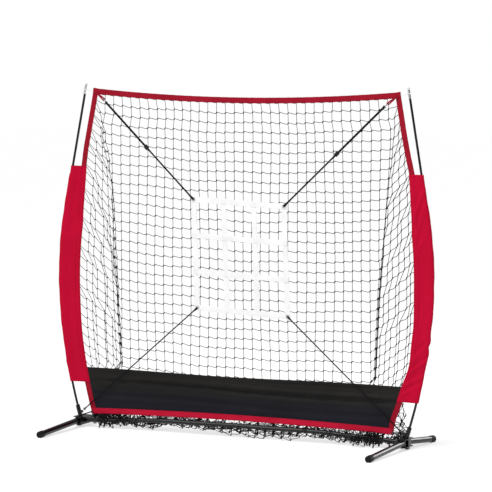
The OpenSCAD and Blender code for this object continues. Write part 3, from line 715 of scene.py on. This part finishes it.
# ---- netting ----
# Knotted black twine in 45 mm square mesh, wider and longer than its border, so it
# gathers in folds beside the sleeves, hangs plumb and lies bunched on the ground.
# The lowest stretch and the heap are let down under their own weight.
MESH = 0.045
DROPS = 51                      # meshes from the top border to the lower edge, the last in a heap
HALF_TOP = 17                   # meshes from the middle to a top corner
widening = (2, 4, 6, 8, 11, 14, 17, 20, 24)   # rows where one more column starts on each side
RIM_IN, RIM_BACK = 0.008, 0.0030    # where the net's edge knots sit on the side border
HEAP_TOP = 0.105                # below this the net bunches up
HANGS_FROM = 0.27               # above this the folds keep their place
FLAT_HALF, LEFT_PACK, RIGHT_PACK = 0.58, 0.24, 0.21     # how the heap's ends are pushed together


def edge_column(row):
    """How many columns of mesh a row has from the middle to the net's rim."""
    return HALF_TOP + sum(row >= r for r in widening)


def fold_x(z):
    """How far from the middle the flat part of the net ends and its folds start."""
    return np.interp(z, [0.0, 0.30, 0.65, 0.90, 1.15, 1.50, 1.60],
                     [0.635, 0.645, 0.662, 0.682, 0.702, 0.742, 0.750])


index, knots, held, rest, outward = {}, [], [], [], []
across_fold = np.linspace(0, 1, 12)
# The folds on each side, from the flat part to the rim: share of the way out, and depth
fold_shares = {-1: [0, -0.05, 0.05, -0.02, 0.07, 0.18, 0.34, 0.40, 0.57, 0.735, 0.83, 1.0],
               1: [0, -0.06, 0.04, -0.03, 0.06, 0.15, 0.33, 0.46, 0.57, 0.73, 0.86, 1.0]}
fold_depths = {-1: [0, 0.040, 0.002, 0.042, 0.004, 0.036, 0.006, 0.034, 0.0, 0.028, 0.006, 0.0],
               1: [0, 0.041, 0.003, 0.040, 0.006, 0.038, 0.004, 0.032, 0.002, 0.030, 0.004, 0.0]}
top_y = leaned((0, 0, TOP_Z))[1]
for row in range(DROPS + 1):
    edge = edge_column(row)
    for column in range(-edge, edge + 1):
        side = -1 if column < 0 else 1
        flat_z = TOP_Z - HALF_BORDER - MESH * row
        rim_rise = 0.14 * min(1, row / 12)
        on_top = row == 0
        on_side = abs(column) == edge and flat_z + rim_rise > BOTTOM_Z
        rim_z = max(flat_z + rim_rise, BOTTOM_Z + 0.004)
        fold = fold_x(flat_z)
        inner_x = abs(column) * MESH * (0.985 if row < 3 else 1.0)
        scatter = math.modf(abs(math.sin(column * 12.9898 + row * 78.233)) * 437.58)[0]
        heap = max(0.0, HEAP_TOP - flat_z)      # how much net lies below where it starts to bunch up
        if on_top:
            x = column / HALF_TOP * (border_x(TOP_Z) - 0.010)
            place = leaned((x, 0.0008, top_border_z(x) - HALF_BORDER + 0.002))
        elif on_side:
            place = leaned((side * (edge_x(side, rim_z) - RIM_IN), RIM_BACK, rim_z))
        elif heap > 0:
            past = max(0.0, inner_x - FLAT_HALF)
            x = side * (inner_x - past + past * (LEFT_PACK if side < 0 else RIGHT_PACK))
            y = 0.046 + 0.020 * math.sin(heap / MESH * math.pi) + 0.018 * math.sin(column * 2.1 + row)
            place = np.array((x, y, 0.006 + 0.076 * scatter))
        elif inner_x <= fold:
            wander = 0.0035 * math.sin(flat_z * 4.3 + column * 0.45) * min(1, row / 4)
            x = side * inner_x + wander
            z = flat_z + top_border_z(column * MESH) - TOP_Z + 0.003 * math.sin(column * 0.7 + row * 0.31)
            place = np.array((x, top_y + 0.004 + 0.006 * math.sin(column * 0.5 + row * 0.2), z))
        else:
            cells = edge - fold / MESH
            t = (abs(column) - fold / MESH) / cells
            share = np.interp(t, across_fold, fold_shares[side])
            rim = leaned((side * (edge_x(side, rim_z) - RIM_IN), RIM_BACK, rim_z))
            x = fold + (abs(rim[0]) - fold) * share
            z = flat_z + (rim_z - flat_z) * max(share, 0)
            y = top_y + 0.004 + (rim[1] - top_y) * max(share, 0) ** 1.5
            y += np.interp(t, across_fold, fold_depths[side]) * min(1, row / 5)
            place = np.array((side * x, y, max(z, 0.005)))
        index[column, row] = len(knots)
        knots.append(place)
        held.append(on_top or on_side or heap == 0 and (inner_x <= fold - 0.02 or place[2] > HANGS_FROM))
        rest.append(0.0035 + (0.080 * scatter ** 1.2 if heap > 0 else 0.0))
        # loose net pokes out past the side border near the hubs, more on the right
        near_corner = abs(column) > edge - 9 and not on_side and row < 40
        poke = max(0, 1 - abs(rim_z - 0.130) / 0.080) if near_corner else 0
        uneven = 0.5 + 0.5 * math.sin(column * 2.4 + row * 1.3)
        outward.append(side * poke * (0.0075 if side > 0 else 0.0012) * uneven)
knots, held, rest, outward = np.array(knots, float), np.array(held), np.array(rest), np.array(outward)
over = np.array([(index[c, r], index[c + 1, r]) for (c, r) in index if (c + 1, r) in index])
down = np.array([(index[c, r], index[c, r + 1]) for (c, r) in index if (c, r + 1) in index])
columns_rows = np.array(list(index))
free = (~held).astype(float)
low_z = np.linspace(0, 0.3, 31)
low_edge = [0.5 * (edge_x(1, max(z, BOTTOM_Z)) + edge_x(-1, max(z, BOTTOM_Z))) for z in low_z]
FALL, DRAG = 0.0011, 0.94       # what a knot falls each step, and what is left of its speed
BUNCHES_TO = 0.4                # a mesh's side can shorten to this share of itself
CROSSBAR_TOP, BEHIND_BAR, BACK_LIMIT = 0.066, 0.018, 0.098


def settle(points, steps):
    """Lets the twine hang: no length of it can stretch, and it can bunch only so far."""
    now, before = points.copy(), points.copy()
    groups = []
    for pairs, axis in ((over, 0), (down, 1)):
        order = columns_rows[pairs[:, 0], axis] % 2
        groups += [pairs[order == 0], pairs[order == 1]]
    pull = np.stack([outward, 0 * outward, 0 * outward - FALL], axis=1)
    for step in range(steps):
        move = (now - before) * DRAG
        before = now.copy()
        now = now + (move + pull) * free[:, None]
        for _ in range(12):
            for pairs in groups:
                a, b = now[pairs[:, 0]], now[pairs[:, 1]]
                apart = b - a
                gap = np.linalg.norm(apart, axis=1)
                least = BUNCHES_TO * MESH
                wrong = np.where(gap > MESH, gap - MESH, np.where(gap < least, 0.3 * (gap - least), 0))
                wa, wb = free[pairs[:, 0]], free[pairs[:, 1]]
                push = apart * (wrong / np.maximum(gap, 1e-6) / np.maximum(wa + wb, 1))[:, None]
                now[pairs[:, 0]] += push * wa[:, None]
                now[pairs[:, 1]] -= push * wb[:, None]
        sunk = now[:, 2] < rest
        now[sunk, 2] = rest[sunk]
        now[sunk, :2] = before[sunk, :2] + 0.3 * (now[sunk, :2] - before[sunk, :2])
        behind = leaned(np.stack([now[:, 0], 0 * now[:, 0] + 0.0045, now[:, 2]], axis=1))[:, 1]
        behind = np.where(now[:, 2] < CROSSBAR_TOP, BEHIND_BAR, behind)
        front = (now[:, 1] < behind) & ~held
        now[front, 1] = behind[front]
        now[:, 1] = np.where(held, now[:, 1], np.minimum(now[:, 1], BACK_LIMIT))
        low = (now[:, 2] < 0.26) & ~held
        swell = 0.5 + 0.5 * np.sin(now[:, 2] * 90 + 1.1 * columns_rows[:, 0])
        past_edge = np.where(now[:, 0] > 0, 0.030 + 0.040 * swell, 0.010 + 0.007 * swell)
        limit = np.interp(now[:, 2], low_z, low_edge) + past_edge
        now[low, 0] = np.clip(now[low, 0], -limit[low], limit[low])
    return now


knots = settle(knots, 60)

TWINE_R, KNOT_R = 0.0014, 0.0030
slope = np.zeros_like(knots)
slope[:, 0] += 1
for a, b in over:
    slope[a] += (knots[b] - knots[a]) * 20
slope /= np.linalg.norm(slope, axis=1)[:, None]
tilt = slope * 0.0021 + np.array((0, -0.0004, 0.0030))     # each knot's slanted long way


def twine_tubes(points, radius):
    """Four-sided tubes along many short lines at once: points is (lines, steps, 3)."""
    count, steps = points.shape[:2]
    along = np.gradient(points, axis=1)
    along /= np.maximum(np.linalg.norm(along, axis=2), 1e-9)[..., None]
    side = np.cross(along, (0.13, 1.0, 0.07))
    side /= np.linalg.norm(side, axis=2)[..., None]
    other = np.cross(along, side)
    ring = np.stack([points + radius * d for d in (side, other, -side, -other)], axis=2)
    base = (np.arange(count) * steps * 4)[:, None, None]
    i = (np.arange(steps - 1) * 4)[None, :, None]
    j = np.arange(4)[None, None, :]
    after = (j + 1) % 4
    quads = np.stack([base + i + j, base + i + after, base + i + 4 + after, base + i + 4 + j], axis=-1)
    first = base[:, 0] + np.array((3, 2, 1, 0))[None]
    final = base[:, 0] + 4 * (steps - 1) + np.array((0, 1, 2, 3))[None]
    return ring.reshape(-1, 3), np.concatenate([quads.reshape(-1, 4), first, final])


def spare(a, b):
    """The share of each mesh side that is slack."""
    return np.clip((MESH - np.linalg.norm(b - a, axis=1)) / MESH, 0, 0.6)[:, None]


a, b = knots[over[:, 0]], knots[over[:, 1]]
sag = np.array((0, 0, -1.0)) * (0.0022 + 0.010 * spare(a, b))
across = np.stack([a + tilt[over[:, 0]], a + (b - a) * 0.32 + tilt[over[:, 0]] * 0.5 + sag * 0.4,
                   a + (b - a) * 0.68 - tilt[over[:, 1]] * 0.3 + sag, b - tilt[over[:, 1]]], axis=1)
a, b = knots[down[:, 0]], knots[down[:, 1]]
bow = np.stack([np.sin(down[:, 0] * 1.7), np.cos(down[:, 0] * 2.3), 0 * down[:, 0]], axis=1)
bow = bow * (0.0006 + 0.010 * spare(a, b))
drops = np.stack([a - tilt[down[:, 0]] * 0.3, (a + b) / 2 + bow, b + tilt[down[:, 1]] * 0.3], axis=1)
tied = np.stack([knots - tilt * 1.5, knots - tilt * 0.7, knots + tilt * 0.7, knots + tilt * 1.5], axis=1)
verts, faces, count = [], [], 0
for twines in (across, drops):
    v, f = twine_tubes(twines, TWINE_R)
    verts.append(v)
    faces.append(f + count)
    count += len(v)
v, f = twine_tubes(tied, 1.0)
middle = np.repeat(tied, 4, axis=1).reshape(len(tied), 4, 4, 3)
girth = np.array((TWINE_R, KNOT_R, KNOT_R, TWINE_R))[None, :, None, None]
v = (middle + (v.reshape(len(tied), 4, 4, 3) - middle) * girth).reshape(-1, 3)
verts.append(v)
faces.append(f + count)
black_twine, nodes, links, shader = finish_for("black_knotted_twine", (0.010, 0.010, 0.011), 0.6)
shader.inputs["Specular IOR Level"].default_value = 0.15
place = nodes.new("ShaderNodeTexCoord")
wear = place_effect(nodes, grain, {"Scale": 300.0})
links.new(place.outputs["Object"], wear.inputs["Vector"])
two_tone(nodes, links, wear.outputs["Smudge"], (0.003, 0.003, 0.0035), (0.014, 0.014, 0.015), shader)
bumped(nodes, links, wear.outputs["Peel"], 0.4, 0.0004, shader)
verts, faces = np.concatenate(verts), np.concatenate(faces)
verts[:, 2] = np.maximum(verts[:, 2], 0.0004)       # nothing sinks into the ground
netting = make_piece("knotted_netting", verts, faces.tolist(), black_twine)
fasten(netting, "black_net", "netting", "net_skirt")


# ---- catch panel ----
# One strip of plain black canvas sewn across the lower end, hemmed along its top
# edge, which sags and creases lengthwise because the border only just holds it up.
black_canvas = woven("black_canvas", (0.0075, 0.0075, 0.0085), (0.020, 0.020, 0.021), 0.55,
                     1300, 0.1, blotch=3.0)
# The base colour is darker and bluer low down and browner towards the top, with lighter and darker bands of
# painted sheen and shade along the creases
nodes, links = black_canvas.node_tree.nodes, black_canvas.node_tree.links
shader = next(n for n in nodes if n.type == "BSDF_PRINCIPLED")
plain = shader.inputs["Base Color"].links[0].from_socket
place = nodes.new("ShaderNodeTexCoord")
split = nodes.new("ShaderNodeSeparateXYZ")
links.new(place.outputs["Object"], split.inputs["Vector"])
height = nodes.new("ShaderNodeMapRange")
height.inputs["From Min"].default_value = 0.10
height.inputs["From Max"].default_value = 0.27
links.new(split.outputs["Z"], height.inputs["Value"])
painted_crease_sheen = nodes.new("ShaderNodeValToRGB")
painted_crease_sheen.color_ramp.elements[0].color = (0.55, 0.56, 0.86, 1)
painted_crease_sheen.color_ramp.elements[1].color = (0.80, 0.74, 0.66, 1)
# lighter and darker bands: painted sheen and shade along the creases
for spot, shade in ((0.42, (0.62, 0.60, 0.72, 1)), (0.56, (0.95, 0.90, 0.80, 1)),
                    (0.68, (0.58, 0.54, 0.50, 1)), (0.80, (1.0, 0.95, 0.82, 1))):
    painted_crease_sheen.color_ramp.elements.new(spot).color = shade
links.new(height.outputs["Result"], painted_crease_sheen.inputs["Fac"])
painted_sheen_mix = nodes.new("ShaderNodeMix")
painted_sheen_mix.data_type = "RGBA"
painted_sheen_mix.blend_type = "MULTIPLY"
painted_sheen_mix.inputs["Factor"].default_value = 1.0
links.new(plain, painted_sheen_mix.inputs["A"])
links.new(painted_crease_sheen.outputs["Color"], painted_sheen_mix.inputs["B"])
links.new(painted_sheen_mix.outputs["Result"], shader.inputs["Base Color"])
wide, tall = 160, 48
grid, uvs, faces = [], [], []
PANEL_TOP, PANEL_IN = 0.276, 0.010      # its upper edge, and how far it stops inside the side borders
for j in range(tall + 1):
    v = j / tall
    for i in range(wide + 1):
        u = i / wide * 2 - 1
        floor_z = bottom_border_z(u * (border_x(0.09) - 0.012)) + 0.004
        z = floor_z + (PANEL_TOP - floor_z) * v
        x = u * (edge_x(1 if u > 0 else -1, z) - PANEL_IN)
        z += v * -0.003 * math.cos(x * 5.0 + 0.4)
        hold = math.sin(math.pi * min(1, max(0, v))) ** 0.6 * (1 - abs(u) ** 14)
        y = 0.0052 * math.sin(z * 95 + 1.3 * math.sin(x * 2.1 + 0.5) + x * 1.1)
        y += 0.0040 * math.sin(z * 185 + x * 3.3 + 0.8 * math.sin(x * 6))
        y += 0.0016 * math.sin(x * 19 + z * 40) + 0.0010 * math.sin(x * 47 - z * 90)
        slack_low = 0.35 + 0.65 * math.exp(-((v - 0.72) / 0.26) ** 2)
        grid.append((x, 0.0016 + hold * (y * slack_low + 0.006 * math.sin(math.pi * v)), z))
        uvs.append((x, z))
for j in range(tall):
    for i in range(wide):
        n = j * (wide + 1) + i
        faces.append((n, n + 1, n + wide + 2, n + wide + 1))
panel = make_piece("catch_panel_canvas", leaned(np.array(grid)), faces, black_canvas,
                   [[uvs[i] for i in face] for face in faces])
thicken(panel, 0.0008, 1)
hem_line = [grid[tall * (wide + 1) + i] for i in range(wide + 1)]
path, up = path_and_up([(x, y - 0.0002, z - 0.005) for x, y, z in hem_line])
hem = flat_band("catch_panel_hem", path, up, 0.014, 0.0022, black_canvas, ripple=0.0002)
fasten(panel, "black_canvas", "catch_panel")
fasten(hem, "black_canvas", "catch_panel")


# ---- target ----
# Eight strips of 25 mm white webbing in a grid of nine windows, the columns behind the
# rows. They are box stitched where they cross, but each corner has a bright grommet.
white_webbing = woven("white_webbing", (0.68, 0.68, 0.69), (0.88, 0.88, 0.88), 0.7, 1000, 0.02, blotch=14.0)
white_thread = woven("white_stitching", (0.62, 0.62, 0.63), (0.78, 0.78, 0.78), 0.6, 2500, 0.0)
ROW_TILT, COLUMN_TILT = math.radians(2.4), math.radians(3.0)
COLUMN_PITCH, ROW_PITCH, TARGET_Z, STRIP_W = 0.152, 0.166, 0.825, 0.025
row_way = np.array((math.cos(ROW_TILT), 0, -math.sin(ROW_TILT)))
column_way = np.array((-math.sin(COLUMN_TILT), 0, math.cos(COLUMN_TILT)))


def crossing(column, row):
    """Where a column and a row of the target cross."""
    across, along = (column - 2.5) * COLUMN_PITCH, (row - 2.5) * ROW_PITCH
    return np.array((0, 0, TARGET_Z)) + across * row_way + along * column_way


for kind, way, pitch, front in (("row", row_way, COLUMN_PITCH, -0.00775),
                                ("column", column_way, ROW_PITCH, -0.00625)):
    up = np.array((-way[2], 0, way[0]))
    for n in range(1, 5):
        ends = (crossing(1, n), crossing(4, n)) if kind == "row" else (crossing(n, 1), crossing(n, 4))
        middle = (ends[0] + ends[1]) / 2
        half = 1.5 * pitch + STRIP_W / 2
        points = [middle + way * t + np.array((0, front, 0)) for t in np.linspace(-half, half, 60)]
        ups = np.repeat(up[None], 60, axis=0)
        strip = flat_band(f"target_{kind}_{n}_webbing", points, ups, STRIP_W, 0.0015, white_webbing,
                          ripple=0.00015)
        fasten(strip, "white_webbing", f"target_{kind}_{n}")
BOX = 0.009                     # half the side of a stitched box
rows = []
for column in range(1, 5):
    for row in range(1, 5):
        if column in (1, 4) and row in (1, 4):
            continue
        c = crossing(column, row)
        square = [c + BOX * (row_way * a + column_way * b) for a, b in ((-1, -1), (1, -1), (1, 1), (-1, 1))]
        for p, q in ((0, 1), (1, 2), (2, 3), (3, 0), (0, 2), (1, 3)):
            points = [square[p] + (square[q] - square[p]) * t for t in np.linspace(0, 1, 6)]
            path, up = path_and_up(points)
            rows.append(stitch_row(path, up, 0, -0.0085, step=0.0045, gap=0.0012, r=0.0003))
box_stitches = sewn("target_box_stitching", rows, white_thread)
fasten(box_stitches, "white_webbing")
nickel = worn("nickel_grommets", (0.34, 0.34, 0.35), (0.60, 0.60, 0.61), 0.25, 0.4, 200, 0.1, metallic=1.0)
dress(["grommets"], nickel)


# ---- elastic straps, sliders, hooks and hook tabs ----
# Black elastic holds the target by its corners: a flat doubled strap with a slider
# and a wire hook to each top corner tab, and a narrow one to each hub's lug.
black_elastic = woven("black_elastic", (0.002, 0.002, 0.0022), (0.008, 0.008, 0.009), 0.6, 1600, 0.0)
black_plastic = worn("black_moulded_plastic", (0.004, 0.004, 0.004), (0.011, 0.011, 0.011), 0.35, 0.5,
                     120, 0.2, gloss_level=0.2)
black_wire = worn("black_coated_wire", (0.010, 0.010, 0.011), (0.030, 0.030, 0.032), 0.25, 0.4,
                  150, 0.1, coat=0.3)
dress(["slider_left", "slider_right"], black_plastic)
dress(["upper_hooks", "lower_hooks"], black_wire)
STRAP_Y = -0.0103
SOCKET_FOOT_Z = 0.05138
SLIDER_PLACE = 0.52             # along the strap, as a share from the target to the hook
HOOK_LONG = 0.014               # the strap ends this far before the hook's bend
upper_hook = np.array((border_x(TOP_Z) - 0.052, 0, TOP_Z - 0.042))
lower_hook = np.array((pole_x(SOCKET_FOOT_Z + 0.030) - 0.025, 0, SOCKET_FOOT_Z + 0.022))
for side, word in ((-1, "left"), (1, "right")):
    for level, hook in (("upper", upper_hook), ("lower", lower_hook)):
        start = crossing(1 if side < 0 else 4, 4 if level == "upper" else 1)
        end = np.array((side * hook[0], 0, hook[2]))
        way = (end - start) / np.linalg.norm(end - start)
        up = np.array((-way[2], 0, way[0]))
        whole = float(np.linalg.norm(end - start))
        length = whole - HOOK_LONG
        run = np.linspace(0, length, 90)
        points = start + way * run[:, None] + np.array((0, STRAP_Y, 0))
        # an upper strap is double from its slider on, and each is thicker at its knot and its hook
        spread = np.full(90, 0.0058)
        if level == "upper":
            spread = 0.0080 + 0.0022 / (1 + np.exp(-(run - SLIDER_PLACE * whole + 0.02) / 0.004))
        spread = spread + 0.0038 * np.exp(-((run - 0.012) / 0.012) ** 2)
        spread = spread + 0.0030 * np.exp(-((run - length + 0.005) / 0.005) ** 2)
        turn = np.linspace(0, 2 * math.pi, 12, endpoint=False)
        across_strap = np.sign(np.cos(turn)) * np.abs(np.cos(turn)) ** 0.4 / 2
        deep = np.sign(np.sin(turn)) * np.abs(np.sin(turn)) ** 0.7 * 0.0010
        rings = points[:, None] + up * (across_strap[None] * spread[:, None])[..., None]
        rings[..., 1] += deep[None]
        strap = loft(f"{level}_strap_{word}_elastic", leaned(rings), black_elastic)
        fasten(strap, "black_elastic", f"{level}_strap_{word}")
        # the elastic's end passes through the grommet and is knotted behind it
        tail = [start + np.array((0, y, 0)) for y in np.linspace(STRAP_Y, 0.0015, 14)]
        knot_r = [0.0026 + 0.0046 * math.exp(-((t - 0.86) / 0.16) ** 2) for t in np.linspace(0, 1, 14)]
        rings = np.array([[p + np.array((math.cos(a) * r, 0, math.sin(a) * r)) for a in turn]
                          for p, r in zip(tail, knot_r)])
        knot = loft(f"{level}_strap_{word}_knot", leaned(rings), black_elastic)
        fasten(knot, "black_elastic")
        path = leaned(points)

    # a short red webbing loop, sewn to the border's corner, that the upper hook passes through
    start = np.array((side * (border_x(TOP_Z) - 0.006), 0, TOP_Z - 0.006))
    from_target = crossing(1 if side < 0 else 4, 4)
    hook_at = np.array((side * upper_hook[0], 0, upper_hook[2]))
    way = (hook_at - from_target) / np.linalg.norm(hook_at - from_target)
    eye = hook_at + way * 0.0055
    reach = np.linalg.norm(start - eye)
    along = (start - eye) / reach
    up = np.array((-along[2], 0, along[0]))
    for leaf, lift, swing in (("front", -0.0058, 0.0045), ("back", -0.0034, -0.0045)):
        points = [eye - along * 0.006 + (start - eye) * t * 1.1 + up * swing * (1 - t)
                  + np.array((0, lift * (1 - 0.25 * t), 0)) for t in np.linspace(0, 1, 16)]
        tab = flat_band(f"hook_tab_{word}_{leaf}", points, np.repeat(up[None], 16, axis=0), 0.0065, 0.0016,
                        red_webbing, ripple=0.0001)
        fasten(tab, "red_polyester", "hook_tabs")
